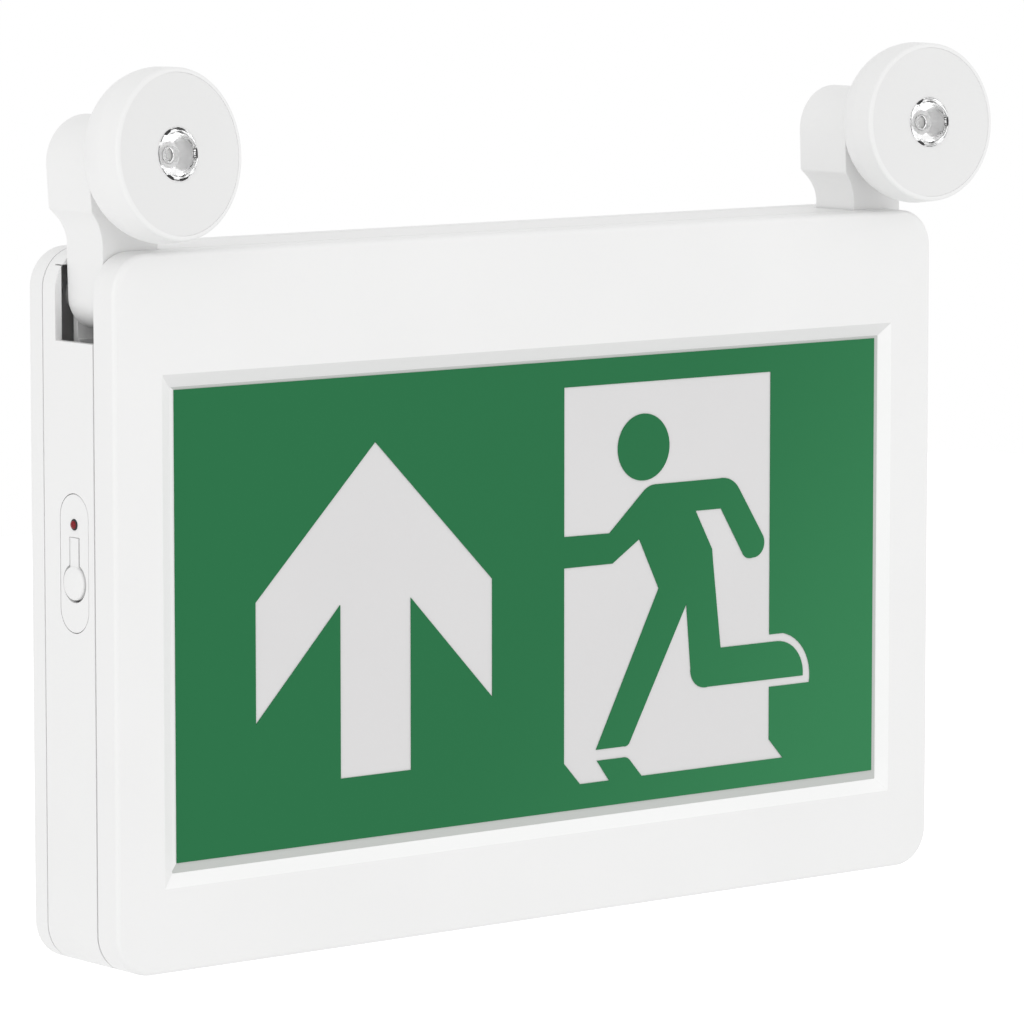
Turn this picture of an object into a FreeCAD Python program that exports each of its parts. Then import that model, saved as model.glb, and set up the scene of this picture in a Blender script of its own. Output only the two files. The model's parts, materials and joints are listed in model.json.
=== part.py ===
import FreeCAD, Part
import math
import os

# Emergency exit light: a wall-mounted escape-route sign with two swing-out lamp heads.
# Millimetres. +Z up, +X along the sign's width, the sign faces -Y.
# The origin is the centre of the flat wall face, which lies in the plane y = 0.

# ---- case ----
body_w = 333.0
body_h = 220.5
corner_r = 12.5
wall = 2.4
back_d = 8.5
housing_d = 27.0
cover_d = 10.5
front_wall = 2.2
front_edge_r = 1.5
rear_edge_r = 3.0
groove_w = 0.5
groove_deep = 0.8

# ---- sign window, panel and legend ----
bevel_w = 4.3
window_bottom = 30.5
panel_t = 2.0
panel_lap = 2.0
tray_depth = 8.0
tray_wall = 1.2
legend_w = 286.0
legend_h = 145.0
legend_t = 0.3
legend_side = 1.5
legend_top_gap = 0.7
legend_bottom_gap = 2.9
grid_w = 286.0
grid_h = 145.0
head_u = 186.1
head_v = 29.7
head_r = 10.85

# ---- swing arms ----
pivot_from_side = 14.6
pivot_from_top = 14.3
knuckle_r = 10.4
notch_d = 20.0
notch_side_gap = 0.8
notch_floor_gap = 3.0
arm_front_gap = 0.4
arm_back_gap = 0.1
washer_t = 0.5
washer_r = 7.0
pin_r = 3.0
pin_gap = 0.05
pin_engage = 5.5
pin_boss_r = 6.2
pin_boss_floor = 1.2
block_r = 14.5
block_draft = 0.5
block_rise = 26.8
block_back = 12.4
arch_rise = 40.3
side_cove_h = 12.0
back_cove_h = 11.4

# ---- lamp heads ----
lamp_rise = 43.2
lamp_outset = 1.5
lamp_r = 26.5
lamp_depth = 23.0
lamp_front = 61.0
lamp_skin = 1.5
rim_draw = 0.5
lamp_back_r = 15.0
rim_t = 1.5
rim_round = 1.0
face_t = 1.5
face_dish = 0.8
face_inset = 0.15
face_gap = 0.03
face_seat = 1.0
lens_r = 8.2
lens_gap = 0.15
lens_flange = 1.3
lens_len = 7.2
lens_proud = 0.3
lens_flange_t = 0.8
lens_bulge = 2.2
lens_foot = 1.2
lens_cup = 1.6
dimple_r = 2.4
dimple_deep = 0.9
ball_r = 4.2
ball_gap = 0.05
liner_t = 1.1
ball_y = -43.6
ball_open = 2.6
lip_start = 3.6
lip_r = 3.95
mouth_r = 4.7
socket_wall = 1.2
socket_r = 7.2
stem_r = 2.2
stud_r = 3.0
stud_len = 7.0
stem_flange_r = 5.0
stem_flange_t = 1.0
led_board_r = 12.0
board_t = 1.6
chip_w = 3.4
chip_h = 0.9

# ---- how the heads stand, in degrees: pan inwards, tilt up, arm swung outwards ----
right_pan = 3.5
right_tilt = 3.4
right_swing = 0.0
left_pan = 8.5
left_tilt = 4.5
left_swing = 1.5

# ---- test panel on the left side ----
pill_w = 14.6
pill_h = 42.4
pill_gap = 0.25
pill_y = -24.6
pill_z = 15.2
pill_flange = 1.5
pill_flange_t = 1.2
tongue_w = 4.0
tongue_t = 1.6
tongue_gap = 0.7
hinge_gap = 0.15
tongue_len = 14.0
pad_r = 5.3
pad_dome = 0.9
led_r = 1.7
led_above_root = 3.9
tongue_root_z = 23.2
plunger_r = 1.6
press_travel = 1.2
switch_size = 6.0
switch_deep = 3.6

# ---- fasteners and wall fixings ----
screw_r = 1.5
screw_head_r = 2.8
screw_head_h = 2.0
screw_gap = 0.05
screw_boss_r = 4.2
screw_engage = 6.0
low_screw_from_side = 5.5
low_screw_z = -88.0
top_screw_x = 128.0
top_screw_from_top = 5.6
fixing_x = 120.0
fixing_z = 70.0
fixing_r = 2.5
entry_r = 11.1
entry_z = 45.0
entry_collar = 4.0
entry_collar_t = 2.0

# ---- electrical parts ----
cell_r = 11.2
cell_len = 43.0
cell_count = 3
battery_x = 62.0
battery_z = -48.0
strap_t = 0.8
strap_w = 12.0
board_w = 84.0
board_h = 96.0
board_from_side = 16.5
board_z = -6.0
standoff_h = 6.0
standoff_r = 3.0
relay_w = 16.0
relay_h = 20.0
relay_d = 11.0
capacitor_r = 6.0
capacitor_len = 12.0
capacitor_count = 2
chip_package_w = 10.0
chip_package_h = 18.0
chip_package_t = 2.0
core_w = 44.0
core_h = 36.0
core_d = 16.0
coil_out = 5.0
core_x = -18.0
core_z = -62.0
terminal_w = 34.0
terminal_h = 14.0
terminal_d = 14.0
terminal_x = 52.0
terminal_z = 30.0
terminal_ways = 3
well_r = 2.2
well_deep = 5.0
strip_end_gap = 13.5
strip_h = 9.0
strip_leds = 12

# ---- places worked out from the sizes above ----
half_w = body_w / 2
half_h = body_h / 2
y_seam_back = -back_d
y_seam_front = -(back_d + housing_d)
y_front = -(back_d + housing_d + cover_d)
y_panel = y_front + front_wall
window_w = legend_w + 2 * legend_side
window_h = legend_h + legend_top_gap + legend_bottom_gap
window_z0 = -half_h + window_bottom
window_zc = window_z0 + window_h / 2
pivot_x = half_w - pivot_from_side
pivot_z = half_h - pivot_from_top
notch_back = y_seam_front + notch_d
notch_x = pivot_x - knuckle_r - notch_side_gap
notch_z = pivot_z - knuckle_r - notch_floor_gap
arm_y0 = y_seam_front + arm_front_gap
arm_y1 = notch_back - washer_t - arm_back_gap
lamp_z = pivot_z + lamp_rise
y_lamp = -lamp_front
y_bowl_back = y_lamp + lamp_depth
liner_r = ball_r + ball_gap + liner_t
cavity_r = liner_r + ball_gap
y_socket = ball_y - cavity_r - socket_wall
strip_w = window_w - 2 * strip_end_gap
board_x = -half_w + board_from_side + board_w / 2
lamp_x = pivot_x + lamp_outset


def box(x0, x1, y0, y1, z0, z1):
    return Part.makeBox(x1 - x0, y1 - y0, z1 - z0, FreeCAD.Vector(x0, y0, z0))


def rod_y(x, z, r, y0, y1):
    return Part.makeCylinder(r, y1 - y0, FreeCAD.Vector(x, y0, z), FreeCAD.Vector(0, 1, 0))


def rod_x(y, z, r, x0, x1):
    return Part.makeCylinder(r, x1 - x0, FreeCAD.Vector(x0, y, z), FreeCAD.Vector(1, 0, 0))


def slab(inset, y0, y1):
    """The case outline, drawn in by inset, as a block with rounded corners."""
    block = box(-half_w + inset, half_w - inset, y0, y1, -half_h + inset, half_h - inset)
    upright = [e for e in block.Edges if abs(e.tangentAt(e.FirstParameter).y) > 0.9]
    return block.makeFillet(max(corner_r - inset, 0.5), upright)


def round_end(block, y, radius):
    """Fillet the whole outline of a block at one end of its depth."""
    rim = [e for e in block.Edges if abs(e.BoundBox.YMin - y) < 0.01 and e.BoundBox.YLength < 0.01]
    return block.makeFillet(radius, rim)


def perimeter_groove(y0, y1):
    return slab(-1.0, y0, y1).cut(slab(groove_deep, y0, y1))


def rect_wire(w, h, zc, y):
    corners = [(-w / 2, -h / 2), (w / 2, -h / 2), (w / 2, h / 2), (-w / 2, h / 2), (-w / 2, -h / 2)]
    return Part.makePolygon([FreeCAD.Vector(x, y, zc + z) for x, z in corners])


def both_sides(shape):
    return [shape, shape.mirror(FreeCAD.Vector(0, 0, 0), FreeCAD.Vector(1, 0, 0))]


def screw_places():
    low = [(s * (half_w - low_screw_from_side), low_screw_z) for s in (-1, 1)]
    top = [(s * top_screw_x, half_h - top_screw_from_top) for s in (-1, 1)]
    return low + top


def outline(points, place):
    """Closed wire from 2-D points set in space by place. Four values make an arc: its end, a point on it."""
    edges = []
    here = points[0]
    for step in points[1:]:
        a = place(here[0], here[1])
        b = place(step[0], step[1])
        if len(step) == 4:
            edges.append(Part.Arc(a, place(step[2], step[3]), b).toShape())
        else:
            edges.append(Part.makeLine(a, b))
        here = step
    return Part.Wire(edges)


def prism_y(points, y0, y1):
    """Block with an outline of (x, z) points."""
    face = Part.Face(outline(points, lambda x, z: FreeCAD.Vector(x, y0, z)))
    return face.extrude(FreeCAD.Vector(0, y1 - y0, 0))


def prism_x(points, x0, x1):
    """Block with an outline of (y, z) points."""
    face = Part.Face(outline(points, lambda y, z: FreeCAD.Vector(x0, y, z)))
    return face.extrude(FreeCAD.Vector(x1 - x0, 0, 0))


def turned(points):
    """A solid of revolution about the Y axis from (radius, y) points."""
    face = Part.Face(outline(points, lambda r, y: FreeCAD.Vector(r, y, 0)))
    return face.revolve(FreeCAD.Vector(0, 0, 0), FreeCAD.Vector(0, 1, 0), 360)


def save(name, shape):
    shape.exportStep("parts/" + name + ".step")


# ---- case parts ----
def make_back_cover():
    tray = round_end(slab(0, y_seam_back, 0), 0, rear_edge_r)
    tray = tray.cut(slab(wall, y_seam_back, -wall))
    collar = rod_y(0, entry_z, entry_r + entry_collar_t, -entry_collar, -wall)
    bosses = [rod_y(x, z, screw_boss_r, y_seam_back, -wall) for x, z in screw_places()]
    posts = [rod_y(x, z, standoff_r, -wall - standoff_h, -wall) for x, z in board_posts()]
    tray = tray.fuse([collar] + bosses + posts).common(slab(0, y_seam_back, 0))
    holes = [rod_y(0, entry_z, entry_r, -entry_collar - 1, 1)]
    holes += [rod_y(sx * fixing_x, sz * fixing_z, fixing_r, -wall - 1, 1) for sx in (-1, 1) for sz in (-1, 1)]
    for x, z in screw_places():
        holes.append(rod_y(x, z, screw_r + screw_gap, y_seam_back - 1, 1))
        holes.append(rod_y(x, z, screw_head_r + screw_gap * 4, -screw_head_h - screw_gap, 1))
    return tray.cut(holes).removeSplitter()


def board_posts():
    dx = board_w / 2 - standoff_r
    dz = board_h / 2 - standoff_r
    return [(board_x + sx * dx, board_z + sz * dz) for sx in (-1, 1) for sz in (-1, 1)]


def make_housing():
    shell = slab(0, y_seam_front, y_seam_back)
    shell = shell.cut(slab(wall, y_seam_front, y_seam_back))
    adds = [rod_y(x, z, screw_boss_r, y_seam_front, y_seam_back) for x, z in screw_places()]
    pocket = box(notch_x - wall, half_w, y_seam_front, notch_back + wall, notch_z - wall, half_h)
    gap_x = pivot_x + pin_boss_r
    seat = rod_y(pivot_x, pivot_z, pin_boss_r, notch_back, notch_back + pin_engage + pin_boss_floor)
    adds += both_sides(pocket) + both_sides(seat)
    shell = shell.fuse(adds).common(slab(0, y_seam_front, y_seam_back))
    notch = box(notch_x, half_w + 1, y_seam_front - 1, notch_back, notch_z, half_h + 1)
    floor_hole = box(notch_x + 1, half_w - wall, y_seam_front - 1, notch_back - 1,
                     notch_z - wall - 1, notch_z + 1)
    back_hole = box(gap_x, half_w - wall, notch_back - 1, notch_back + wall + 1,
                    notch_z - wall - 1, half_h - 2 * wall)
    pin_hole = rod_y(pivot_x, pivot_z, pin_r + pin_gap, notch_back - 1, notch_back + pin_engage)
    cuts = both_sides(notch) + both_sides(floor_hole) + both_sides(back_hole) + both_sides(pin_hole)
    cuts += [rod_y(x, z, screw_r + screw_gap, y_seam_front - 1, y_seam_back + 1) for x, z in screw_places()]
    cuts.append(pill(pill_w / 2 + pill_gap, -half_w - 1, -half_w + wall + 1))
    cuts.append(perimeter_groove(y_seam_front, y_seam_front + groove_w))
    cuts.append(perimeter_groove(y_seam_back - groove_w, y_seam_back))
    return shell.cut(cuts).removeSplitter()


def make_front_cover():
    shell = round_end(slab(0, y_front, y_seam_front), y_front, front_edge_r)
    shell = shell.cut(slab(wall, y_panel, y_seam_front))
    adds = [rod_y(x, z, screw_boss_r, y_panel - 0.5, y_seam_front) for x, z in screw_places()]
    adds += both_sides(rod_y(pivot_x, pivot_z, pin_boss_r, y_panel - 0.5, y_seam_front))
    shell = shell.fuse(adds).common(round_end(slab(0, y_front, y_seam_front), y_front, front_edge_r))
    wide = rect_wire(window_w + 2 * bevel_w, window_h + 2 * bevel_w, window_zc, y_front)
    narrow = rect_wire(window_w, window_h, window_zc, y_panel)
    shell = shell.cut(Part.makeLoft([wide, narrow], True, True))
    cuts = both_sides(rod_y(pivot_x, pivot_z, pin_r + pin_gap, y_seam_front - pin_engage, y_seam_front + 1))
    cuts += [rod_y(x, z, screw_r + screw_gap, y_seam_front - screw_engage, y_seam_front + 1)
             for x, z in screw_places()]
    return shell.cut(cuts).removeSplitter()


def make_cover_screws():
    screws = []
    for x, z in screw_places():
        shank = rod_y(x, z, screw_r, y_seam_front - screw_engage + 0.3, -screw_head_h)
        head = rod_y(x, z, screw_head_r, -screw_head_h, -0.3)
        screws.append(shank.fuse(head).removeSplitter())
    return Part.makeCompound(screws)


# ---- sign ----
def make_diffuser_panel():
    w = window_w + 2 * panel_lap
    h = window_h + 2 * panel_lap
    return box(-w / 2, w / 2, y_panel, y_panel + panel_t, window_zc - h / 2, window_zc + h / 2)


def make_reflector_tray():
    w = window_w + 2 * panel_lap
    h = window_h + 2 * panel_lap
    y0 = y_panel + panel_t
    outer = box(-w / 2, w / 2, y0, y0 + tray_depth, window_zc - h / 2, window_zc + h / 2)
    inner = box(-w / 2 + tray_wall, w / 2 - tray_wall, y0, y0 + tray_depth - tray_wall,
                window_zc - h / 2 + tray_wall, window_zc + h / 2 - tray_wall)
    return outer.cut(inner)


def make_led_strips():
    y1 = y_panel + panel_t + tray_depth - tray_wall
    strips = []
    for side in (-1, 1):
        zc = window_zc + side * window_h / 4
        strip = box(-strip_w / 2, strip_w / 2, y1 - board_t, y1, zc - strip_h / 2, zc + strip_h / 2)
        pitch = strip_w / strip_leds
        chips = []
        for i in range(strip_leds):
            x = -strip_w / 2 + pitch * (i + 0.5)
            chips.append(box(x - chip_w / 2, x + chip_w / 2, y1 - board_t - chip_h, y1 - board_t,
                             zc - chip_w / 2, zc + chip_w / 2))
        strips.append(strip.fuse(chips))
    return Part.makeCompound(strips)


def make_legend_film():
    """Green film with the arrow and the doorway cut out, and the running figure in the doorway."""
    top = window_z0 + window_h - legend_top_gap
    left = -legend_w / 2
    y0 = y_panel - legend_t
    unit_u = legend_w / grid_w
    unit_v = legend_h / grid_h

    def at(*uv):
        """Grid places (from the film's left edge, down from its top edge) to X, Z pairs."""
        place = []
        for i in range(0, len(uv), 2):
            place += [left + uv[i] * unit_u, top - uv[i + 1] * unit_v]
        return tuple(place)

    sheet = box(left, left + legend_w, y0, y_panel, top - legend_h, top)
    arrow = [(76.9, 20.8), (123.5, 67.4), (123.5, 105.2), (90.8, 70.8), (90.8, 125.3), (63.0, 125.3),
             (63.0, 70.8), (30.3, 105.2), (30.3, 67.4), (76.9, 20.8)]
    doorway = [(152.9, 8.5), (240.4, 8.5), (240.4, 95.3), (246.2, 95.3), (258.0, 112.7, 256.0, 102.2),
               (240.4, 112.7), (240.4, 130.2), (246.4, 136.8), (185.5, 136.8), (180.4, 131.0),
               (177.4, 130.0, 179.2, 130.2), (166.7, 130.0), (171.8, 136.9), (159.6, 136.9),
               (152.9, 129.6), (152.9, 8.5)]
    runner = [(152.9, 56.4), (171.8, 56.6), (185.9, 44.2), (191.6, 42.1, 188.5, 42.6), (218.6, 42.1),
              (227.0, 46.2, 223.8, 43.1), (237.0, 61.7), (232.8, 69.2, 237.4, 66.6),
              (228.4, 67.2, 230.2, 69.0), (219.1, 52.0), (208.2, 52.0), (215.3, 65.0), (215.7, 69.2), (219.1, 97.8), (243.7, 97.8),
              (255.1, 110.2, 252.8, 102.3), (213.7, 110.2), (206.3, 103.4, 208.2, 108.6), (204.4, 82.1),
              (180.4, 125.2), (177.8, 126.4, 179.6, 126.1), (166.3, 126.4), (192.6, 76.1), (184.3, 59.4),
              (173.0, 66.5), (152.9, 66.5), (152.9, 56.4)]
    holes = [prism_y([at(*p) for p in shape], y0 - 1, y_panel + 1) for shape in (arrow, doorway)]
    head_at = at(head_u, head_v)
    figure = prism_y([at(*p) for p in runner], y0, y_panel)
    head = rod_y(head_at[0], head_at[1], head_r * min(unit_u, unit_v), y0, y_panel)
    return Part.makeCompound([sheet.cut(holes), figure, head])


# ---- test panel ----
def pill(r, x0, x1):
    """Upright pill centred on the test panel, as wide as twice r."""
    straight = pill_h / 2 - pill_w / 2
    middle = box(x0, x1, pill_y - r, pill_y + r, pill_z - straight, pill_z + straight)
    ends = [rod_x(pill_y, pill_z + s * straight, r, x0, x1) for s in (-1, 1)]
    return middle.fuse(ends).removeSplitter()


def tongue(grow, x0, x1):
    """The spring tongue and its round pad, grown all round by a gap."""
    pad_z = tongue_root_z - tongue_len
    bar = box(x0, x1, pill_y - tongue_w / 2 - grow, pill_y + tongue_w / 2 + grow, pad_z, tongue_root_z)
    return bar.fuse(rod_x(pill_y, pad_z, pad_r + grow, x0, x1)).removeSplitter()


def make_test_panel():
    x0 = -half_w
    plate = pill(pill_w / 2, x0, x0 + wall)
    flange = pill(pill_w / 2 + pill_flange, x0 + wall, x0 + wall + pill_flange_t)
    plate = plate.fuse(flange)
    led_hole = rod_x(pill_y, tongue_root_z + led_above_root, led_r + pin_gap, x0 - 1, x0 + 9)
    return plate.cut([tongue(tongue_gap, x0 - 1, x0 + 9), led_hole]).removeSplitter()


def make_test_button():
    x0 = -half_w
    pad_z = tongue_root_z - tongue_len
    body = tongue(0, x0, x0 + tongue_t)
    body = body.cut(box(x0 - 1, x0 + 9, pill_y - pad_r, pill_y + pad_r, tongue_root_z - hinge_gap, half_h))
    dome_r = (pad_r * pad_r + pad_dome * pad_dome) / (2 * pad_dome)
    ball = Part.makeSphere(dome_r, FreeCAD.Vector(x0 - pad_dome + dome_r, pill_y, pad_z))
    dome = ball.common(rod_x(pill_y, pad_z, pad_r, x0 - pad_dome - 1, x0 + 0.2))
    plunger = rod_x(pill_y, pad_z, plunger_r, x0 + tongue_t - 0.2, switch_face() - press_travel)
    return body.fuse([dome, plunger]).removeSplitter()


def switch_face():
    """Front of the push switch behind the pad."""
    return -half_w + wall + pill_flange_t + 2.2


def make_switch_board():
    x0 = switch_face() + switch_deep
    y1 = -wall - standoff_h - board_t
    return box(x0, x0 + board_t, y_seam_front + 2, y1, pill_z - pill_h / 2, pill_z + pill_h / 2)


def make_tact_switch():
    x0 = switch_face()
    pad_z = tongue_root_z - tongue_len
    can = box(x0 + 0.6, x0 + switch_deep, pill_y - switch_size / 2, pill_y + switch_size / 2,
              pad_z - switch_size / 2, pad_z + switch_size / 2)
    return can.fuse(rod_x(pill_y, pad_z, plunger_r, x0, x0 + 1)).removeSplitter()


def make_indicator_led():
    z = tongue_root_z + led_above_root
    x0 = -half_w
    x1 = switch_face() + switch_deep
    stem = rod_x(pill_y, z, led_r, x0, x1)
    flange = rod_x(pill_y, z, led_r + 0.7, x0 + wall + pill_flange_t, x0 + wall + pill_flange_t + 1)
    dome = Part.makeSphere(led_r, FreeCAD.Vector(x0, pill_y, z))
    dome = dome.common(box(x0 - 0.8, x0 + 0.5, pill_y - 5, pill_y + 5, z - 5, z + 5))
    return stem.fuse([flange, dome]).removeSplitter()


# ---- electrical parts on the back cover ----
def make_control_board():
    y1 = -wall - standoff_h
    y0 = y1 - board_t
    board = box(board_x - board_w / 2, board_x + board_w / 2, y0, y1,
                board_z - board_h / 2, board_z + board_h / 2)
    relay_z = board_z + board_h * 0.29
    parts = [box(board_x - relay_w / 2, board_x + relay_w / 2, y0 - relay_d, y0,
                 relay_z - relay_h / 2, relay_z + relay_h / 2)]
    for i in range(capacitor_count):
        z = board_z - board_h * 0.2 - i * 2.7 * capacitor_r
        parts.append(rod_y(board_x + board_w * 0.26, z, capacitor_r, y0 - capacitor_len, y0))
    parts.append(box(board_x - chip_package_w / 2, board_x + chip_package_w / 2, y0 - chip_package_t, y0,
                     board_z - chip_package_h, board_z))
    return board.fuse(parts)


def make_battery_cells():
    z0 = battery_z - cell_len / 2
    cells = []
    for i in range(cell_count):
        x = battery_x + (i - (cell_count - 1) / 2) * (2 * cell_r)
        y = -wall - strap_t - cell_r
        cell = Part.makeCylinder(cell_r - 0.05, cell_len, FreeCAD.Vector(x, y, z0))
        nub = Part.makeCylinder(cell_r / 3, 1.2, FreeCAD.Vector(x, y, z0 + cell_len))
        cells.append(cell.fuse(nub).removeSplitter())
    return Part.makeCompound(cells)


def wrap_round_cells(grow, height):
    """Flat loop outline round the row of cells, as an upright solid grown all round."""
    run = (cell_count - 1) * cell_r
    y = -wall - strap_t - cell_r
    z0 = battery_z - height / 2
    r = cell_r + grow
    middle = box(battery_x - run, battery_x + run, y - r, y + r, z0, z0 + height)
    ends = [Part.makeCylinder(r, height, FreeCAD.Vector(battery_x + s * run, y, z0)) for s in (-1, 1)]
    return middle.fuse(ends).removeSplitter()


def make_battery_strap():
    return wrap_round_cells(strap_t, strap_w).cut(wrap_round_cells(0, 2 * strap_w))


def make_transformer():
    y0 = -wall - core_d
    core = box(core_x - core_w / 2, core_x + core_w / 2, y0, -wall, core_z - core_h / 2, core_z + core_h / 2)
    coil = box(core_x - core_w / 4, core_x + core_w / 4, y0 - coil_out, y0,
               core_z - core_h / 3, core_z + core_h / 3)
    return core.fuse(coil)


def make_terminal_block():
    x0 = terminal_x - terminal_w / 2
    y0 = -wall - terminal_d
    block = box(x0, x0 + terminal_w, y0, -wall, terminal_z - terminal_h / 2, terminal_z + terminal_h / 2)
    pitch = terminal_w / terminal_ways
    wells = [rod_y(x0 + pitch * (i + 0.5), terminal_z, well_r, y0 - 1, y0 + well_deep)
             for i in range(terminal_ways)]
    return block.cut(wells)


# ---- arm, pivot and lamp head, made for the right-hand side ----
def make_arm():
    """Arch-topped lamp block on a slim neck with a round knuckle, the neck let into the case notch."""
    x = pivot_x
    block_z = pivot_z + block_rise
    arch_z = pivot_z + arch_rise
    neck_z = block_z - side_cove_h
    heel_r = block_r - block_draft
    cove_x = knuckle_r * 0.78 + heel_r * 0.22
    cove_z = block_z - side_cove_h * 0.42
    front_view = [(x - knuckle_r, pivot_z), (x + knuckle_r, pivot_z, x, pivot_z - knuckle_r),
                  (x + knuckle_r, neck_z), (x + heel_r, block_z, x + cove_x, cove_z),
                  (x + block_r, arch_z), (x - block_r, arch_z, x, arch_z + block_r),
                  (x - heel_r, block_z), (x - knuckle_r, neck_z, x - cove_x, cove_z),
                  (x - knuckle_r, pivot_z)]
    low = pivot_z - 2 * knuckle_r
    high = arch_z + 2 * block_r
    heel_z = block_z - back_cove_h
    cove_y = arm_y1 * 0.74 - block_back * 0.26
    side_view = [(arm_y0, low), (arm_y1, low), (arm_y1, heel_z),
                 (-block_back, block_z, cove_y, block_z - back_cove_h * 0.42),
                 (-block_back, high), (arm_y0, high), (arm_y0, low)]
    body = prism_y(front_view, arm_y0, -block_back)
    body = body.common(prism_x(side_view, x - 2 * block_r, x + 2 * block_r))
    seat = rod_y(lamp_x, lamp_z, stem_flange_r + ball_gap, arm_y0 - 1, arm_y0 + stem_flange_t)
    stud_hole = rod_y(lamp_x, lamp_z, stud_r, arm_y0, arm_y0 + stud_len)
    bore = rod_y(x, pivot_z, pin_r + pin_gap, arm_y0 - 1, arm_y1 + 1)
    return body.cut([seat, stud_hole, bore]).removeSplitter()


def make_pivot_pin():
    return rod_y(pivot_x, pivot_z, pin_r, y_seam_front - pin_engage + 0.2, notch_back + pin_engage - 0.2)


def make_pivot_washer():
    ring = rod_y(pivot_x, pivot_z, washer_r, notch_back - washer_t, notch_back)
    return ring.cut(rod_y(pivot_x, pivot_z, pin_r + pin_gap, notch_back - 2, notch_back + 1))


def make_lamp_swivel():
    """Ball stud screwed into the arm block, its flange let in flush."""
    ball = Part.makeSphere(ball_r, FreeCAD.Vector(0, ball_y, 0))
    stem = rod_y(0, 0, stem_r, ball_y, arm_y0)
    flange = rod_y(0, 0, stem_flange_r, arm_y0, arm_y0 + stem_flange_t)
    stud = rod_y(0, 0, stud_r, arm_y0, arm_y0 + stud_len)
    return ball.fuse([stem, flange, stud]).removeSplitter()


def make_ball_liner():
    centre = FreeCAD.Vector(0, ball_y, 0)
    shell = Part.makeSphere(liner_r, centre).cut(Part.makeSphere(ball_r + ball_gap, centre))
    return shell.cut(rod_y(0, 0, 2 * ball_r, ball_y + ball_open, ball_y + 3 * ball_r))


def make_lamp_bowl():
    """Deep domed reflector housing with a rounded rim and, behind, a socket for the ball liner."""
    s = lamp_skin
    rim_r = lamp_r - rim_draw
    ri = rim_r - rim_t
    y_seat = y_lamp + face_inset + face_t
    y_turn = y_bowl_back - lamp_back_r
    flat_r = lamp_r - lamp_back_r
    k = lamp_back_r * (1 - math.sqrt(0.5))
    ki = (lamp_back_r - s) * (1 - math.sqrt(0.5))
    kr = rim_round * (1 - math.sqrt(0.5))
    shape = turned([(ri, y_lamp), (rim_r - rim_round, y_lamp),
                    (rim_r, y_lamp + rim_round, rim_r - kr, y_lamp + kr), (lamp_r, y_turn),
                    (flat_r, y_bowl_back, lamp_r - k, y_bowl_back - k),
                    (0, y_bowl_back), (0, y_bowl_back - s), (flat_r, y_bowl_back - s),
                    (lamp_r - s, y_turn, lamp_r - s - ki, y_bowl_back - s - ki),
                    (ri - face_seat, y_seat), (ri, y_seat), (ri, y_lamp)])
    socket = rod_y(0, 0, socket_r, y_socket, y_bowl_back - s / 2)
    cavity = Part.makeSphere(cavity_r, FreeCAD.Vector(0, ball_y, 0))
    mouth = Part.makeCone(lip_r, mouth_r, y_bowl_back - ball_y - lip_start,
                          FreeCAD.Vector(0, ball_y + lip_start, 0), FreeCAD.Vector(0, 1, 0))
    throat = rod_y(0, 0, lip_r, ball_y, ball_y + lip_start)
    return shape.fuse(socket).cut([cavity, throat, mouth]).removeSplitter()


def lamp_board_y():
    """Front of the lamp's LED board."""
    return y_lamp + face_inset + face_dish + lens_len + chip_h


def make_lamp_face():
    ro = lamp_r - rim_draw - rim_t - face_gap
    ri = lens_r + lens_gap
    y0 = y_lamp + face_inset
    return turned([(ri, y0 + face_dish), (ro, y0), (ro, y0 + face_t), (ro - face_seat - 0.5, y0 + face_t),
                   (ri, y0 + face_dish + face_t), (ri, y0 + face_dish)])


def make_lamp_lens():
    """Collimator lens: flat front with a small dimple, flange behind the face, cone to the LED."""
    y0 = y_lamp + face_inset + face_dish - lens_proud
    y_flange = y_lamp + face_inset + face_dish + face_t
    y_end = y_lamp + face_inset + face_dish + lens_len
    y_under = y_flange + lens_flange_t
    flange_r = lens_r + lens_flange
    throat = chip_w * 0.75
    return turned([(0, y0 + dimple_deep), (dimple_r, y0, dimple_r * 0.58, y0 + dimple_deep * 0.67),
                   (lens_r, y0), (lens_r, y_flange), (flange_r, y_flange), (flange_r, y_under),
                   (lens_r, y_under), (throat + lens_foot, y_end, lens_r - lens_foot, y_end - lens_bulge),
                   (throat, y_end), (throat, y_end - lens_cup), (0, y_end - lens_bulge), (0, y0 + dimple_deep)])


def make_lamp_led():
    y0 = lamp_board_y()
    board = rod_y(0, 0, led_board_r, y0, y0 + board_t)
    chip = box(-chip_w / 2, chip_w / 2, y0 - chip_h, y0, -chip_w / 2, chip_w / 2)
    return board.fuse(chip)


# ---- the two sides: heads aimed about the ball, then arms swung about the pivot ----
def aimed(shape, pan, tilt):
    """Turn a piece of the head about the ball: up by tilt, then inwards by pan. It starts on the Y axis."""
    piece = shape.copy()
    centre = FreeCAD.Vector(0, ball_y, 0)
    piece.rotate(centre, FreeCAD.Vector(1, 0, 0), -tilt)
    piece.rotate(centre, FreeCAD.Vector(0, 0, 1), -pan)
    return piece


def at_head(shape):
    piece = shape.copy()
    piece.translate(FreeCAD.Vector(lamp_x, 0, lamp_z))
    return piece


def swung(shape, swing):
    piece = shape.copy()
    piece.rotate(FreeCAD.Vector(pivot_x, 0, pivot_z), FreeCAD.Vector(0, 1, 0), swing)
    return piece


def save_sides(name, right, left):
    """Both shapes come right-handed. The left one is mirrored over."""
    save("right_" + name, right)
    save("left_" + name, both_sides(left)[1])


def save_pair(name, shape):
    save_sides(name, shape, shape)


def save_arm_pair(name, shape):
    save_sides(name, swung(shape, right_swing), swung(shape, left_swing))


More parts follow.
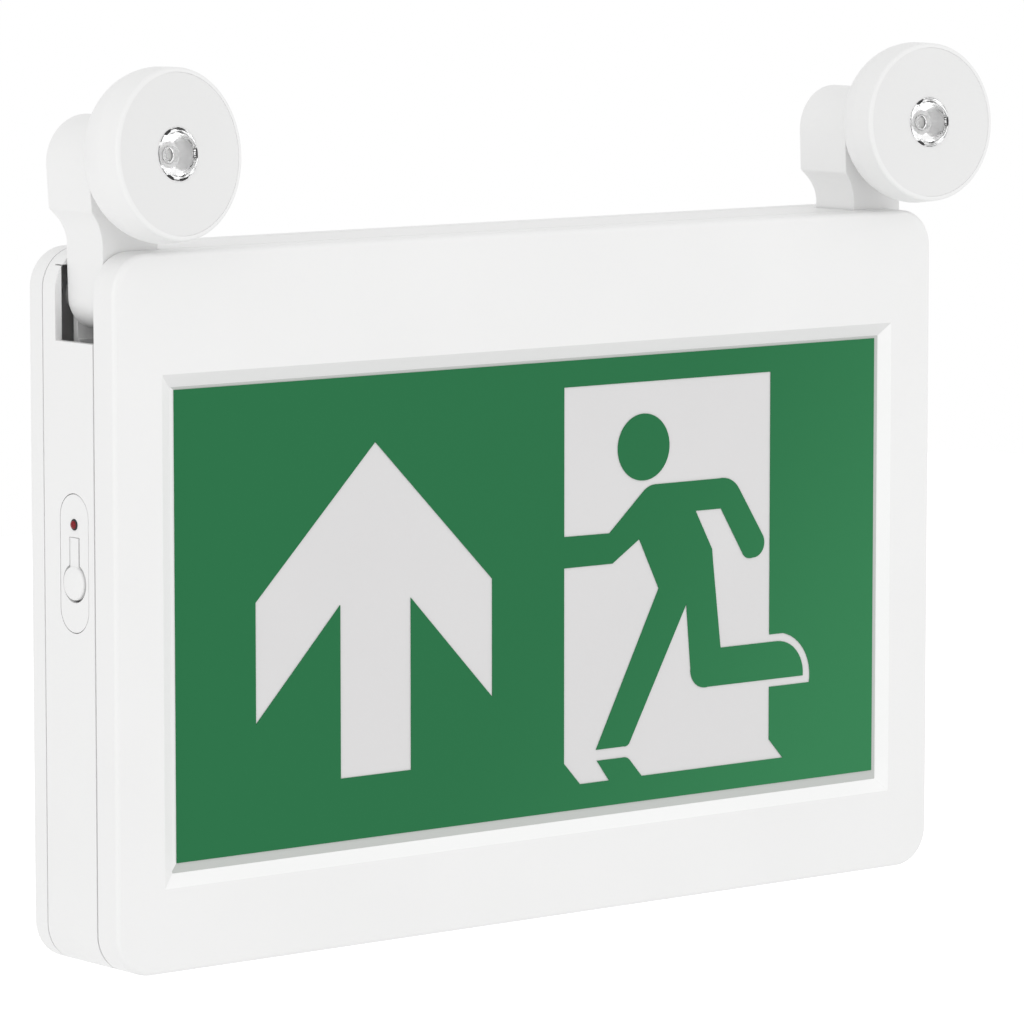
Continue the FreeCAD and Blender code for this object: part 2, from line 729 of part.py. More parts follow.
def save_head_pair(name, shape, tilts):
    """The liner pans with the head and doesn't tilt."""
    right = at_head(aimed(shape, right_pan, right_tilt * tilts))
    left = at_head(aimed(shape, left_pan, left_tilt * tilts))
    save_sides(name, swung(right, right_swing), swung(left, left_swing))


save("back_cover", make_back_cover())
save("housing", make_housing())
save("front_cover", make_front_cover())
save("cover_screws", make_cover_screws())
save("diffuser_panel", make_diffuser_panel())
save("reflector_tray", make_reflector_tray())
save("led_strips", make_led_strips())
save("legend_film", make_legend_film())
save("test_panel", make_test_panel())
save("test_button", make_test_button())
save("switch_board", make_switch_board())
save("tact_switch", make_tact_switch())
save("indicator_led", make_indicator_led())
save("control_board", make_control_board())
save("battery_cells", make_battery_cells())
save("battery_strap", make_battery_strap())
save("transformer", make_transformer())
save("terminal_block", make_terminal_block())
save_pair("pivot_pin", make_pivot_pin())
save_pair("pivot_washer", make_pivot_washer())
save_arm_pair("arm", make_arm())
save_arm_pair("lamp_swivel", at_head(make_lamp_swivel()))
save_head_pair("ball_liner", make_ball_liner(), 0)
save_head_pair("lamp_bowl", make_lamp_bowl(), 1)
save_head_pair("lamp_face", make_lamp_face(), 1)
save_head_pair("lamp_lens", make_lamp_lens(), 1)
save_head_pair("lamp_led", make_lamp_led(), 1)
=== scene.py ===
import json
import math

import bmesh
import bpy
from mathutils import Matrix, Vector

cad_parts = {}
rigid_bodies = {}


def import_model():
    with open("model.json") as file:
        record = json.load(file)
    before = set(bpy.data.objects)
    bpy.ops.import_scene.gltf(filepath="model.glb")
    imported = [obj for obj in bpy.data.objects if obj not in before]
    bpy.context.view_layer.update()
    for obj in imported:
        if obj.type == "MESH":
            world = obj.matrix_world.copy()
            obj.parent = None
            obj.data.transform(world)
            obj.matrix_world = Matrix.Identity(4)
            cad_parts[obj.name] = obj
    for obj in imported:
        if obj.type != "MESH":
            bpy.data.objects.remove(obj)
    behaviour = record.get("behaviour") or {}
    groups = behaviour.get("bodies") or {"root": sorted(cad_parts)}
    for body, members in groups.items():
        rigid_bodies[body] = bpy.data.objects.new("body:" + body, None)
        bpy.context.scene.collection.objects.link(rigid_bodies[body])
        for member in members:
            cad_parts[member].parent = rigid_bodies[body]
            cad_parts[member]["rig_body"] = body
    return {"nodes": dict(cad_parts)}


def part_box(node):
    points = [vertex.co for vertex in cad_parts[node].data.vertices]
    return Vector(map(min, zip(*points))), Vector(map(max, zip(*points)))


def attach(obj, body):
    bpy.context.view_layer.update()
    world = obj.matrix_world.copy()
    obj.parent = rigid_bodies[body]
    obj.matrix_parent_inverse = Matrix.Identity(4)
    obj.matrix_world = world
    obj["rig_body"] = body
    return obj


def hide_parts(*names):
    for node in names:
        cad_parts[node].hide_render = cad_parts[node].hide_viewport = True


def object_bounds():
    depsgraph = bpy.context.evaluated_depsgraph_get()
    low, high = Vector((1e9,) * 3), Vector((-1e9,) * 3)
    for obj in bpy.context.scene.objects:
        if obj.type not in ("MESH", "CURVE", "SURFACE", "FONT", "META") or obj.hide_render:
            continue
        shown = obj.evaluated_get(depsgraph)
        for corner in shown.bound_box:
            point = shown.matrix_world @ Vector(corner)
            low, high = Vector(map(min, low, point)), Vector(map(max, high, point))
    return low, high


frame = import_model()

cad_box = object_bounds()
MM = 0.001


def node(name):
    return bpy.data.objects[name]


# ---- materials ----
GRAIN_DEPTH = 0.2 * MM
GRAIN_DETAIL = 3.0
MOULD_GRAIN = (900.0, 0.12)  # scale and strength
TINT_SCALE = 18.0
TINT_SHARE = 0.985
TINT_BAND = (0.35, 0.65)
SWEEP_AXIS = (0.8, 0.0, -0.6)
SWEEP_REACH = 0.17


def new_material(name, colour, roughness, **sockets):
    """Principled material with its constant values set on the shader's own sockets."""
    mat = bpy.data.materials.new(name)
    mat.use_nodes = True
    shader = mat.node_tree.nodes["Principled BSDF"]
    shader.inputs["Base Color"].default_value = (*colour, 1.0)
    shader.inputs["Roughness"].default_value = roughness
    for socket, value in sockets.items():
        shader.inputs[socket.replace("_", " ")].default_value = value
    return mat


def add_bump(mat, scale, strength):
    """Fine surface grain."""
    nodes, links = mat.node_tree.nodes, mat.node_tree.links
    coord = nodes.new("ShaderNodeTexCoord")
    noise = nodes.new("ShaderNodeTexNoise")
    noise.inputs["Scale"].default_value = scale
    noise.inputs["Detail"].default_value = GRAIN_DETAIL
    bump = nodes.new("ShaderNodeBump")
    bump.inputs["Strength"].default_value = strength
    bump.inputs["Distance"].default_value = GRAIN_DEPTH
    links.new(coord.outputs["Object"], noise.inputs["Vector"])
    links.new(noise.outputs["Fac"], bump.inputs["Height"])
    links.new(bump.outputs["Normal"], nodes["Principled BSDF"].inputs["Normal"])


def add_tint(mat, dark, light, scale):
    """Slow, slight colour change over the surface."""
    nodes, links = mat.node_tree.nodes, mat.node_tree.links
    coord = nodes.new("ShaderNodeTexCoord")
    noise = nodes.new("ShaderNodeTexNoise")
    noise.inputs["Scale"].default_value = scale
    ramp = nodes.new("ShaderNodeValToRGB")
    for element, place, colour in zip(ramp.color_ramp.elements, TINT_BAND, (dark, light)):
        element.position = place
        element.color = (*colour, 1.0)
    links.new(coord.outputs["Object"], noise.inputs["Vector"])
    links.new(noise.outputs["Fac"], ramp.inputs["Fac"])
    links.new(ramp.outputs["Color"], nodes["Principled BSDF"].inputs["Base Color"])


def dimmed(colour, share):
    return tuple(c * share for c in colour)


def moulded(name, colour, roughness):
    """Plastic with a fine grain and a very slight, slow tint."""
    mat = new_material(name, colour, roughness)
    add_bump(mat, *MOULD_GRAIN)
    add_tint(mat, dimmed(colour, TINT_SHARE), colour, TINT_SCALE)
    return mat


def printed(name, colour, roughness, specular):
    """Flat, even colour with a faint film texture and little sheen."""
    mat = moulded(name, colour, roughness)
    mat.node_tree.nodes["Principled BSDF"].inputs["Specular IOR Level"].default_value = specular
    return mat


def add_painted_sheen(mat, start, end):
    """Painted sheen: slow colour change from the upper left to the lower right of the sign."""
    nodes, links = mat.node_tree.nodes, mat.node_tree.links
    coord = nodes.new("ShaderNodeTexCoord")
    along = nodes.new("ShaderNodeVectorMath")
    along.operation = "DOT_PRODUCT"
    along.inputs[1].default_value = SWEEP_AXIS
    span = nodes.new("ShaderNodeMapRange")
    span.interpolation_type = "SMOOTHSTEP"
    span.inputs["From Min"].default_value = 0.0
    span.inputs["From Max"].default_value = SWEEP_REACH
    mix = nodes.new("ShaderNodeMix")
    mix.data_type = "RGBA"
    mix.inputs["A"].default_value = (*start, 1.0)
    mix.inputs["B"].default_value = (*end, 1.0)
    links.new(coord.outputs["Object"], along.inputs[0])
    links.new(along.outputs["Value"], span.inputs["Value"])
    links.new(span.outputs["Result"], mix.inputs["Factor"])
    links.new(mix.outputs["Result"], nodes["Principled BSDF"].inputs["Base Color"])


WHITE = (0.855, 0.855, 0.852)
LEGEND_GREEN = (0.0185, 0.160, 0.058)
# Lighter green towards the lower right of the sign: a painted sheen.
LEGEND_GREEN_SHEEN = (0.032, 0.212, 0.081)
materials = {
    "case": moulded("case_plastic", WHITE, 0.42),
    # Lit and shaded copies of the case white for the window bevels: painted light and painted
    # shade.
    "bevel_painted_light": moulded("bevel_polished_painted_light", (0.93, 0.93, 0.928), 0.35),
    "bevel_dull_painted_shade": moulded("bevel_dull_painted_shade", (0.77, 0.77, 0.768), 0.5),
    "lamp_face": moulded("lamp_face_plastic", (0.80, 0.80, 0.797), 0.5),
    "panel": printed("panel_acrylic", (0.705, 0.698, 0.700), 0.4, 0.3),
    # Lit and shaded copies of the diffuser for the strips round the film: painted light at the
    # left, painted shade on the others.
    "panel_painted_light": printed("diffuser_strip_painted_light", (0.86, 0.86, 0.858), 0.4, 0.4),
    "panel_painted_shade": printed("diffuser_strip_painted_shade", (0.53, 0.55, 0.53), 0.4, 0.3),
    "legend": printed("legend_ink", LEGEND_GREEN, 0.45, 0.1),
    "holder": moulded("lens_holder_white", (0.97, 0.97, 0.97), 0.5),
    "led_board": moulded("led_board_white", (0.82, 0.82, 0.81), 0.35),
    # Near black: painted shade on the lens legs and on the seat round the LED, and the indicator's
    # black collar.
    "shade": moulded("slot_shade", (0.012, 0.012, 0.013), 0.6),
    "liner": moulded("liner_plastic", (0.03, 0.03, 0.032), 0.5),
    "board": moulded("board_lacquer", (0.03, 0.13, 0.06), 0.35),
    "cell": moulded("cell_wrap", (0.05, 0.12, 0.3), 0.3),
    "led_red": new_material("led_red_lens", (0.2, 0.0, 0.004), 0.25, Specular_IOR_Level=0.3),
    "steel": new_material("plated_steel", (0.56, 0.56, 0.57), 0.32, Metallic=1.0),
    "core": new_material("core_steel", (0.12, 0.12, 0.125), 0.5, Metallic=0.7),
    "lens": new_material("lens_clear", (0.99, 0.99, 0.99), 0.02,
                         Transmission_Weight=1.0, IOR=1.49),
}
add_painted_sheen(materials["legend"], LEGEND_GREEN, LEGEND_GREEN_SHEEN)
add_bump(materials["led_red"], 300.0, 0.05)
add_bump(materials["steel"], 700.0, 0.1)
add_bump(materials["core"], 500.0, 0.3)
add_bump(materials["lens"], 120.0, 0.02)

NODE_MATERIALS = {
    "case": ["back_cover", "housing", "front_cover", "reflector_tray", "test_panel", "test_button",
             "arm", "lamp_swivel", "lamp_bowl"],
    "lamp_face": ["lamp_face"],
    "panel": ["diffuser_panel"],
    "legend": ["legend_film"],
    "liner": ["ball_liner", "tact_switch", "battery_strap", "terminal_block"],
    "board": ["switch_board", "control_board"],
    "led_board": ["led_strips", "lamp_led"],
    "cell": ["battery_cells"],
    "led_red": ["indicator_led"],
    "steel": ["cover_screws", "pivot_pin", "pivot_washer"],
    "core": ["transformer"],
    "lens": ["lamp_lens"],
}


def plain_name(name):
    """A node's name without its side."""
    for side in ("right_", "left_"):
        if name.startswith(side):
            return name[len(side):]
    return name


def dress_cad_nodes():
    """Give every node of the frame its material."""
    lookup = {n: key for key, names in NODE_MATERIALS.items() for n in names}
    for name in frame["nodes"]:
        obj = node(name)
        mat = materials[lookup[plain_name(name)]]
        if not obj.material_slots:
            obj.data.materials.append(mat)
        for slot in obj.material_slots:
            slot.material = mat


dress_cad_nodes()


# ---- mesh helpers ----
def link_mesh(name, bm, mats, place, body):
    """A new piece from a bmesh, put in its place and riding on a body."""
    mesh = bpy.data.meshes.new(name)
    bmesh.ops.recalc_face_normals(bm, faces=bm.faces)
    bm.to_mesh(mesh)
    bm.free()
    mesh.transform(place)
    for mat in mats:
        mesh.materials.append(mat)
    piece = bpy.data.objects.new(name, mesh)
    bpy.context.scene.collection.objects.link(piece)
    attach(piece, body)
    return piece


def polar_vert(bm, r, turn, height):
    return bm.verts.new((r * math.cos(turn) * MM, r * math.sin(turn) * MM, height * MM))


def ring_of(bm, radius, height, segments, shape=None):
    """A ring of vertices, in mm; shape(turn) is what is taken off the radius at each angle."""
    ring = []
    for i in range(segments):
        turn = 2 * math.pi * i / segments
        r = radius - (shape(turn) if shape else 0.0)
        ring.append(polar_vert(bm, r, turn, height))
    return ring


def bridge(bm, a, b, smooth=True):
    """The band of faces between two rings."""
    faces = []
    for i in range(len(a)):
        j = (i + 1) % len(a)
        face = bm.faces.new((a[i], a[j], b[j], b[i]))
        face.smooth = smooth
        faces.append(face)
    return faces


# ---- pieces with softened edges, made from the nodes that they replace ----
MERGE_DISTANCE = 0.001 * MM
FLAT_ANGLE = math.radians(0.4)
EDGE_SEGMENTS = 2
ARM_ROUND = 0.6 * MM
COVER_ROUND = 0.5 * MM
HOUSING_ROUND = 0.12 * MM
PILL_ROUND = 0.3 * MM
SHARP_ANGLE = 32.0
COVER_SHARP_ANGLE = 22.0


def softened(names, width, sharp=SHARP_ANGLE, reshape=None):
    """Copies of nodes with every sharp edge rounded a little. They ride where the nodes do."""
    sharp = math.radians(sharp)
    for name in names:
        source = node(name)
        mesh = source.data.copy()
        bm = bmesh.new()
        bm.from_mesh(mesh)
        bmesh.ops.remove_doubles(bm, verts=bm.verts, dist=MERGE_DISTANCE)
        if reshape:
            reshape(bm)
        bmesh.ops.dissolve_limit(bm, angle_limit=FLAT_ANGLE, verts=bm.verts, edges=bm.edges)
        edges = [e for e in bm.edges if len(e.link_faces) == 2 and e.calc_face_angle() > sharp]
        bmesh.ops.bevel(bm, geom=edges, offset=width, segments=EDGE_SEGMENTS, profile=0.5,
                        affect="EDGES", clamp_overlap=True, loop_slide=True)
        bmesh.ops.triangulate(bm, faces=[f for f in bm.faces if len(f.verts) > 4])
        for face in bm.faces:
            face.smooth = True
        bm.to_mesh(mesh)
        bm.free()
        mesh.set_sharp_from_angle(angle=sharp)
        piece = bpy.data.objects.new(name + "_shell", mesh)
        bpy.context.scene.collection.objects.link(piece)
        weighted = piece.modifiers.new("normals", "WEIGHTED_NORMAL")
        weighted.keep_sharp = True
        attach(piece, source["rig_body"])
        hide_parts(name)


SEAM_DEEPER = 0.9 * MM
SEAM_WIDTH = 0.7 * MM
SEAM_FLOOR = (0.6 * MM, 1.0 * MM)  # how far in the groove's floor lies, at least and at most
CASE_CORNER = 12.5 * MM


def deepen_front_seam(bm):
    """Push the floor of the groove behind the front cover further in."""
    low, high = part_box("housing")
    core_x, core_z = high.x - CASE_CORNER, high.z - CASE_CORNER
    for vert in bm.verts:
        if vert.co.y > low.y + SEAM_WIDTH:
            continue
        near_x = max(-core_x, min(core_x, vert.co.x))
        near_z = max(-core_z, min(core_z, vert.co.z))
        out = Vector((vert.co.x - near_x, 0, vert.co.z - near_z))
        inset = CASE_CORNER - out.length
        if SEAM_FLOOR[0] < inset < SEAM_FLOOR[1]:
            vert.co -= out.normalized() * SEAM_DEEPER


BEVEL_SLOPE = (0.8, 0.97)
BEVEL_DEPTH = 2.3 * MM
BEVEL_REACH = (0.15, 0.085)  # half the width and height that the bevels stay within
FACING = 0.2


def dress_window_bevels():
    """The sloping sides of the sign window: glossier and painted lighter below and on the right as
    painted light, duller and painted darker on top as painted shade.
    """
    mesh = node("front_cover_shell").data
    mesh.materials.append(materials["bevel_painted_light"])
    mesh.materials.append(materials["bevel_dull_painted_shade"])
    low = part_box("front_cover")[0]
    for poly in mesh.polygons:
        sloping = BEVEL_SLOPE[0] < -poly.normal.y < BEVEL_SLOPE[1]
        if not sloping or poly.center.y > low.y + BEVEL_DEPTH:
            continue
        if abs(poly.center.x) > BEVEL_REACH[0] or abs(poly.center.z) > BEVEL_REACH[1]:
            continue
        # Bevels facing up or to the left get painted light, bevels facing down get painted shade.
        if poly.normal.z > FACING or poly.normal.x < -FACING:
            poly.material_index = 1
        elif poly.normal.z < -FACING:
            poly.material_index = 2


softened(["right_arm", "left_arm"], ARM_ROUND)
softened(["front_cover"], COVER_ROUND, sharp=COVER_SHARP_ANGLE)
dress_window_bevels()
softened(["housing"], HOUSING_ROUND, reshape=deepen_front_seam)
softened(["test_panel"], PILL_ROUND)


# ---- screws in the back ----
# Profiles here and below are in mm: radius and height, from the outside in.
HEAD_R = 2.8
HEAD_PROFILE = ((HEAD_R, -1.6), (HEAD_R, -0.5), (2.65, -0.2), (2.3, -0.04), (1.8, 0.0))
HEAD_SEGMENTS = 96
CROSS_HALF = 0.42
CROSS_REACH = 1.55
CROSS_DEEP = 0.9
TOP_SLACK = 0.01 * MM
HEAD_CREASE = math.radians(35)


def cross_radius(turn):
    """Outline of the cross recess. It is negative, because ring_of takes it off a radius of 0."""
    off = turn % (math.pi / 2)
    off = min(off, math.pi / 2 - off)
    return -min(CROSS_REACH / math.cos(off), CROSS_HALF / max(math.sin(off), 0.01))


def make_screws():
    """Pan heads with a cross recess, let into the back cover."""
    mesh = node("cover_screws").data
    high = max(v.co.y for v in mesh.vertices)
    tops = [v.co for v in mesh.vertices if v.co.y > high - TOP_SLACK]
    facing_back = Matrix(((-1, 0, 0), (0, 0, 1), (0, 1, 0))).to_4x4()
    bm = bmesh.new()
    for sx in (-1, 1):
        for sz in (-1, 1):
            group = [p for p in tops if p.x * sx > 0 and p.z * sz > 0]
            x = (min(p.x for p in group) + max(p.x for p in group)) / 2
            z = (min(p.z for p in group) + max(p.z for p in group)) / 2
            place = Matrix.Translation((x, high, z)) @ facing_back
            rings = [ring_of(bm, r, h, HEAD_SEGMENTS) for r, h in HEAD_PROFILE]
            for h in (0.0, -CROSS_DEEP):
                rings.append(ring_of(bm, 0.0, h, HEAD_SEGMENTS, cross_radius))
            for k, (a, b) in enumerate(zip(rings, rings[1:])):
                bridge(bm, a, b, smooth=k < len(HEAD_PROFILE) - 1)
            bm.faces.new(rings[-1])
            bm.faces.new(list(reversed(rings[0])))
            for ring in rings:
                for vert in ring:
                    vert.co = place @ vert.co
    piece = link_mesh("back_screws", bm, [materials["steel"]], Matrix.Identity(4), "case")
    piece.data.set_sharp_from_angle(angle=HEAD_CREASE)
    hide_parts("cover_screws")


# ---- sign panel ----
def make_panel():
    """Diffuser sheet: milky under the film; the strip at the left is painted white as painted
    light, and the other strips are painted grey as painted shade.
    """
    low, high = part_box("diffuser_panel")
    film_low, film_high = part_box("legend_film")
    bm = bmesh.new()
    loops = []
    for x0, z0, x1, z1, y in ((film_low.x, film_low.z, film_high.x, film_high.z, low.y),
                              (low.x, low.z, high.x, high.z, low.y),
                              (low.x, low.z, high.x, high.z, high.y)):
        corners = ((x0, z0), (x1, z0), (x1, z1), (x0, z1))
        loops.append([bm.verts.new((x, y, z)) for x, z in corners])
    for face in bridge(bm, loops[1], loops[2], smooth=False):
        face.material_index = 1
    strips = (2, 2, 2, 1)  # material of the strips below, right, above and left of the film: painted shade below, right and above, painted light at the left
    for face, index in zip(bridge(bm, loops[0], loops[1], smooth=False), strips):
        face.material_index = index
    bm.faces.new(loops[0])
    bm.faces.new(list(reversed(loops[2])))
    skins = [materials["panel"], materials["panel_painted_light"], materials["panel_painted_shade"]]
    piece = link_mesh("sign_diffuser", bm, skins, Matrix.Identity(4), "case")
    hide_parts("diffuser_panel")


# ---- test button and indicator on the left side ----
def side_place(z):
    """Axes for pieces on the case's left side: right, up and out, from the panel's middle line."""
    low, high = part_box("test_panel")
    return Matrix.Translation((low.x, (low.y + high.y) / 2, z)) @ Matrix(
        ((0, 0, -1), (-1, 0, 0), (0, 1, 0))).to_4x4()


PAD_R = 5.25
PAD_SKIN = 1.6
PAD_PROFILE = ((PAD_R, -PAD_SKIN), (PAD_R, -0.1), (5.2, 0.25), (4.95, 0.6), (4.4, 0.85),
               (3.4, 1.05), (2.0, 1.2), (0.8, 1.25))
PAD_SEGMENTS = 64
PAD_CENTRE = 5.3 * MM  # above the node's lower end
TONGUE_HALF = 2.15
TONGUE_FOOT = 3.5
PAD_CREASE = math.radians(40)


def make_button():
    """Spring tongue with a round, well raised pad."""
    low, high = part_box("test_button")
    pad_z = low.z + PAD_CENTRE
    tongue_top = (high.z - pad_z) / MM
    bm = bmesh.new()
    rings = [ring_of(bm, r, h, PAD_SEGMENTS) for r, h in PAD_PROFILE]
    for a, b in zip(rings, rings[1:]):
        bridge(bm, a, b)
    bm.faces.new(rings[-1]).smooth = True
    bm.faces.new(list(reversed(rings[0])))
    corners = [(-TONGUE_HALF, TONGUE_FOOT), (TONGUE_HALF, TONGUE_FOOT),
               (TONGUE_HALF, tongue_top), (-TONGUE_HALF, tongue_top)]
    front = [bm.verts.new((x * MM, y * MM, 0)) for x, y in corners]
    back = [bm.verts.new((x * MM, y * MM, -PAD_SKIN * MM)) for x, y in corners]
    bridge(bm, front, back, smooth=False)
    bm.faces.new(front)
    bm.faces.new(list(reversed(back)))
    piece = link_mesh("test_button_pad", bm, [materials["case"]], side_place(pad_z),
                      "test_button")
    piece.data.set_sharp_from_angle(angle=PAD_CREASE)
    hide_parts("test_button")


COLLAR_PROFILE = ((1.66, -3.0), (1.66, 0.15), (1.5, 0.3), (1.32, 0.3), (1.28, 0.1))
DOME_PROFILE = ((1.24, 0.4), (1.0, 0.72), (0.6, 0.92), (0.2, 1.0))
INDICATOR_SEGMENTS = 40


def make_indicator():
    """Small red dome in a black collar."""
    low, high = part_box("indicator_led")
    place = side_place((low.z + high.z) / 2)
    bm = bmesh.new()
    rings = [ring_of(bm, r, h, INDICATOR_SEGMENTS) for r, h in COLLAR_PROFILE + DOME_PROFILE]
    for k in range(len(rings) - 1):
        for face in bridge(bm, rings[k], rings[k + 1]):
            face.material_index = 0 if k < len(COLLAR_PROFILE) - 1 else 1
    cap = bm.faces.new(rings[-1])
    cap.smooth = True
    cap.material_index = 1
    bm.faces.new(list(reversed(rings[0])))
    skins = [materials["shade"], materials["led_red"]]
    piece = link_mesh("indicator_dome", bm, skins, place, "case")
    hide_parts("indicator_led")


# ---- lamp lenses ----
def lamp_place(side):
    """Matrix from lamp axes (right, up, outwards from the lens front) to the frame."""
    board = node(side + "_lamp_led").data
    out = max(board.polygons, key=lambda p: p.area).normal.copy()
    if out.y > 0:
        out.negate()
    right = (-out).cross(Vector((0, 0, 1))).normalized()
    axes = (right, out.cross(right), out)
    spans = []
    points = [v.co for v in node(side + "_lamp_lens").data.vertices]
    for axis in axes:
        values = [p.dot(axis) for p in points]
        spans.append((min(values), max(values)))
    at = [(spans[0][0] + spans[0][1]) / 2, (spans[1][0] + spans[1][1]) / 2, spans[2][1]]
    centre = sum((axis * value for axis, value in zip(axes, at)), Vector())
    return Matrix.Translation(centre) @ Matrix(axes).transposed().to_4x4()


LENS_LEGS = 3
NOTCH_DEEP = 0.9
NOTCH_HALF_ANGLE = math.radians(11)
LEG_STEPS = 12
LEG_FILL = 0.9  # share of the notch that a leg fills
LEG_R = (8.1, 8.0)
LEG_HEIGHTS = (-0.25, -2.1)
LENS_SEGMENTS = 96
LENS_PROFILE = ((3.0, 0.0), (7.75, 0.0), (7.95, -0.06), (8.05, -0.2), (7.9, -1.4), (7.3, -3.0),
                (5.9, -5.2), (3.8, -7.3), (2.5, -7.3), (2.4, -4.6))
NOTCHED_FROM = 7.5
WELL_FLOOR = -4.1
CUP_INSIDE = ((8.32, -0.3), (8.12, -0.35), (7.97, -1.45), (7.4, -3.1), (6.0, -5.3),
              (3.95, -7.4), (2.6, -7.4))
CUP_OUTSIDE = ((2.6, -7.8), (4.3, -7.8), (6.2, -6.0), (8.6, -2.2), (8.32, -1.9))
LENS_CREASE = math.radians(35)


def notch_depth(turn):
    """Shallow half-round notches in the lens rim, where its holder's legs clip in."""
    pitch = 2 * math.pi / LENS_LEGS
    off = turn % pitch
    off = min(off, pitch - off)
    return NOTCH_DEEP * math.sqrt(max(0.0, 1 - (off / NOTCH_HALF_ANGLE) ** 2))


def make_legs(side):
    """Clip legs that fill the lens notches from behind; their near-black colour is painted shade.
    """
    bm = bmesh.new()
    for leg in range(LENS_LEGS):
        middle = 2 * math.pi * leg / LENS_LEGS
        turns = [middle + NOTCH_HALF_ANGLE * (2 * i / LEG_STEPS - 1) * LEG_FILL
                 for i in range(LEG_STEPS + 1)]
        outline = [(LEG_R[0], turn) for turn in turns]
        outline += [(LEG_R[1] - notch_depth(turn) * LEG_FILL, turn) for turn in reversed(turns)]
        loops = [[polar_vert(bm, r, turn, height) for r, turn in outline]
                 for height in LEG_HEIGHTS]
        bridge(bm, loops[0], loops[1], smooth=False)
        bm.faces.new(loops[0])
        bm.faces.new(list(reversed(loops[1])))
    piece = link_mesh(side + "_lens_legs", bm, [materials["shade"]], lamp_place(side),
                      side + "_lamp")


def make_lens(side):
    """Collimator lens: flat front, rounded edge, a cone behind and a well for the LED."""
    bm = bmesh.new()
    rings = []
    for radius, height in LENS_PROFILE:
        shape = notch_depth if radius > NOTCHED_FROM else None
        rings.append(ring_of(bm, radius, height, LENS_SEGMENTS, shape))
    for a, b in zip(rings, rings[1:]):
        bridge(bm, a, b)
    front = bm.verts.new((0, 0, 0))
    well = bm.verts.new((0, 0, WELL_FLOOR * MM))
    for ring, tip in ((rings[0], front), (rings[-1], well)):
        for i in range(LENS_SEGMENTS):
            bm.faces.new((ring[i], ring[(i + 1) % LENS_SEGMENTS], tip)).smooth = True
    piece = link_mesh(side + "_lens_optic", bm, [materials["lens"]], lamp_place(side),
                      side + "_lamp")
    for poly in piece.data.polygons:
        poly.use_smooth = True
    piece.data.set_sharp_from_angle(angle=LENS_CREASE)
    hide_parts(side + "_lamp_lens")


def make_holder(side):
    """White cup close round the lens, with painted shade on the seat round the LED."""
    bm = bmesh.new()
    rings = [ring_of(bm, r, h, LENS_SEGMENTS) for r, h in CUP_INSIDE + CUP_OUTSIDE]
    # The band at the seat round the LED gets the near-black painted shade.
    for k, ring in enumerate(rings):
        for face in bridge(bm, ring, rings[(k + 1) % len(rings)]):
            face.material_index = 1 if k == len(CUP_INSIDE) - 1 else 0
    piece = link_mesh(side + "_lens_holder", bm, [materials["holder"], materials["shade"]],
                      lamp_place(side), side + "_lamp")
    piece.data.set_sharp_from_angle(angle=LENS_CREASE)


make_screws()
make_panel()
make_button()
make_indicator()
for lamp_side in ("right", "left"):
    make_lens(lamp_side)
    make_holder(lamp_side)
    make_legs(lamp_side)


# ---- stage, light and camera ----
SOFTBOX_SIZE = 1.6
WORLD_LIGHT = 0.84
FLOOR_GLOW = 0.45
FLOOR_HALF = 4.0
FLOOR_DROP = 0.45
CAMERA_AZIMUTH = math.radians(-38.949)
CAMERA_ELEVATION = math.radians(6.652)
CAMERA_DISTANCE = 1.942262
CAMERA_TARGET = Vector((0.005482, -0.023, 0.018246))
CAMERA_LENS = 212.54


def softbox(name, place, power):
    """A square area light that faces the origin."""
    data = bpy.data.lights.new(name, "AREA")
    data.shape = "SQUARE"
    data.size = SOFTBOX_SIZE
    data.energy = power
    obj = bpy.data.objects.new(name, data)
    obj.location = place
    obj.rotation_euler = (-Vector(place)).to_track_quat("-Z", "Y").to_euler()
    bpy.context.scene.collection.objects.link(obj)


def seen_rays(nodes, links):
    """1 for rays from the camera, in glossy reflections and through clear parts, otherwise 0."""
    path = nodes.new("ShaderNodeLightPath")
    total = path.outputs["Is Camera Ray"]
    for kind in ("Is Glossy Ray", "Is Transmission Ray"):
        add = nodes.new("ShaderNodeMath")
        add.operation = "MAXIMUM"
        links.new(total, add.inputs[0])
        links.new(path.outputs[kind], add.inputs[1])
        total = add.outputs["Value"]
    return total


def make_world():
    """Soft white surroundings: pure white to the camera, dimmer as a source of light."""
    world = bpy.data.worlds.new("studio")
    world.use_nodes = True
    nodes, links = world.node_tree.nodes, world.node_tree.links
    nodes.clear()
    seen = nodes.new("ShaderNodeBackground")
    lit = nodes.new("ShaderNodeBackground")
    for shader, strength in ((seen, 1.0), (lit, WORLD_LIGHT)):
        shader.inputs["Color"].default_value = (1, 1, 1, 1)
        shader.inputs["Strength"].default_value = strength
    mix = nodes.new("ShaderNodeMixShader")
    out = nodes.new("ShaderNodeOutputWorld")
    links.new(seen_rays(nodes, links), mix.inputs["Fac"])
    links.new(lit.outputs["Background"], mix.inputs[1])
    links.new(seen.outputs["Background"], mix.inputs[2])
    links.new(mix.outputs["Shader"], out.inputs["Surface"])
    bpy.context.scene.world = world


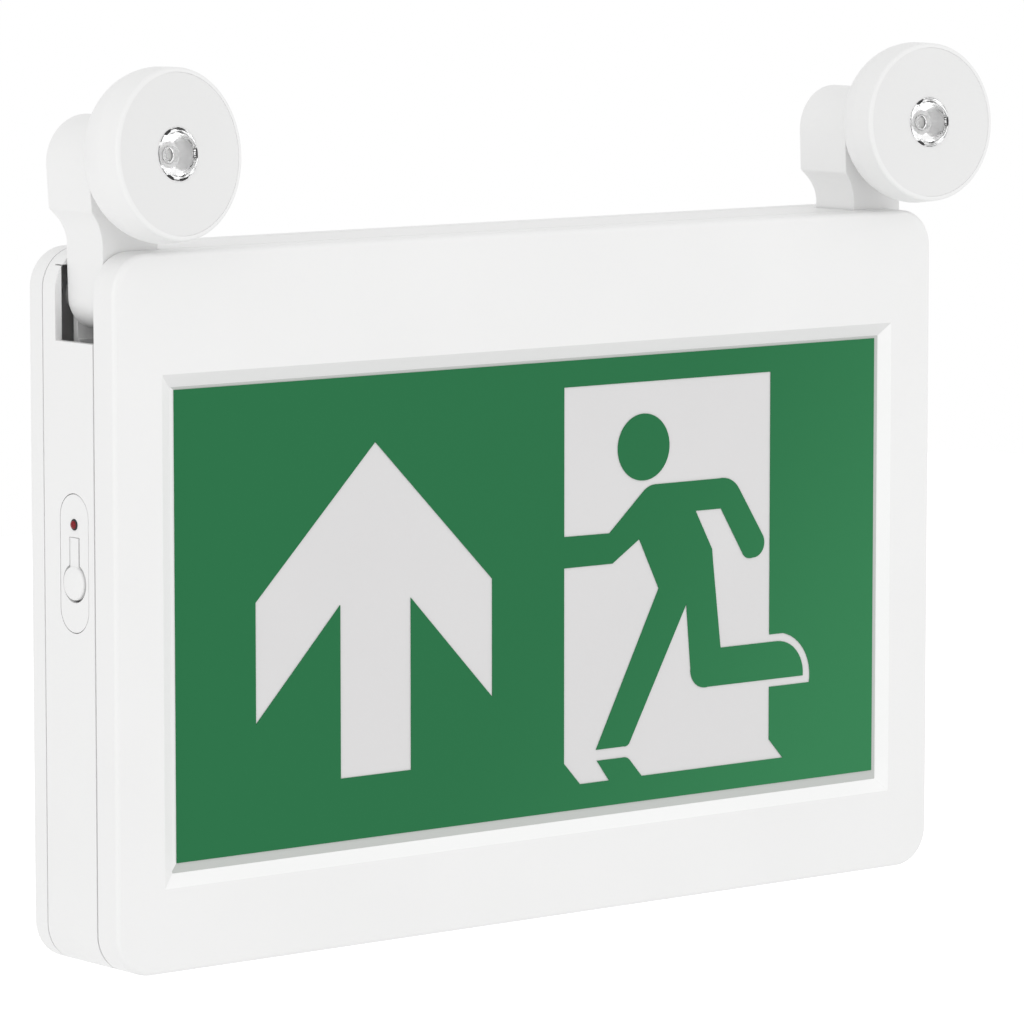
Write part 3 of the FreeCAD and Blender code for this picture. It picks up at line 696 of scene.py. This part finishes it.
def floor_material():
    """White paper: where it is seen it glows enough to reach white, and its shadows stay."""
    mat = new_material("floor_paper", (0.9, 0.9, 0.9), 0.9)
    nodes, links = mat.node_tree.nodes, mat.node_tree.links
    shader = nodes["Principled BSDF"]
    out = nodes["Material Output"]
    glow = nodes.new("ShaderNodeEmission")
    glow.inputs["Color"].default_value = (1, 1, 1, 1)
    glow.inputs["Strength"].default_value = FLOOR_GLOW
    both = nodes.new("ShaderNodeAddShader")
    mix = nodes.new("ShaderNodeMixShader")
    links.new(shader.outputs["BSDF"], both.inputs[0])
    links.new(glow.outputs["Emission"], both.inputs[1])
    links.new(seen_rays(nodes, links), mix.inputs["Fac"])
    links.new(shader.outputs["BSDF"], mix.inputs[1])
    links.new(both.outputs["Shader"], mix.inputs[2])
    links.new(mix.outputs["Shader"], out.inputs["Surface"])
    return mat


def make_floor():
    """A level sheet below the sign that only takes its shadow."""
    mesh = bpy.data.meshes.new("floor")
    bm = bmesh.new()
    drop = cad_box[0][2] - FLOOR_DROP
    bm.faces.new([bm.verts.new((x * FLOOR_HALF, y * FLOOR_HALF, drop))
                  for x, y in ((-1, -1), (1, -1), (1, 1), (-1, 1))])
    bm.to_mesh(mesh)
    bm.free()
    floor = bpy.data.objects.new("floor", mesh)
    mesh.materials.append(floor_material())
    bpy.context.scene.collection.objects.link(floor)


def make_camera():
    """Long lens at eye level above the sign, seen from its left front."""
    level = math.cos(CAMERA_ELEVATION)
    back = Vector((math.sin(CAMERA_AZIMUTH) * level, -math.cos(CAMERA_AZIMUTH) * level,
                   math.sin(CAMERA_ELEVATION)))
    data = bpy.data.cameras.new("camera")
    data.sensor_width = 36.0
    data.lens = CAMERA_LENS
    data.clip_end = 50.0
    camera = bpy.data.objects.new("camera", data)
    camera.location = CAMERA_TARGET + back * CAMERA_DISTANCE
    camera.rotation_euler = back.to_track_quat("Z", "Y").to_euler()
    bpy.context.scene.collection.objects.link(camera)
    bpy.context.scene.camera = camera


bpy.context.scene.view_settings.view_transform = "Standard"
make_world()
make_floor()
make_camera()
softbox("left_softbox", (-2.4, -0.9, 0.5), 10.9)
softbox("front_softbox", (0.3, -2.6, 0.9), 6.0)
softbox("right_softbox", (2.3, -1.4, 0.6), 6.0)
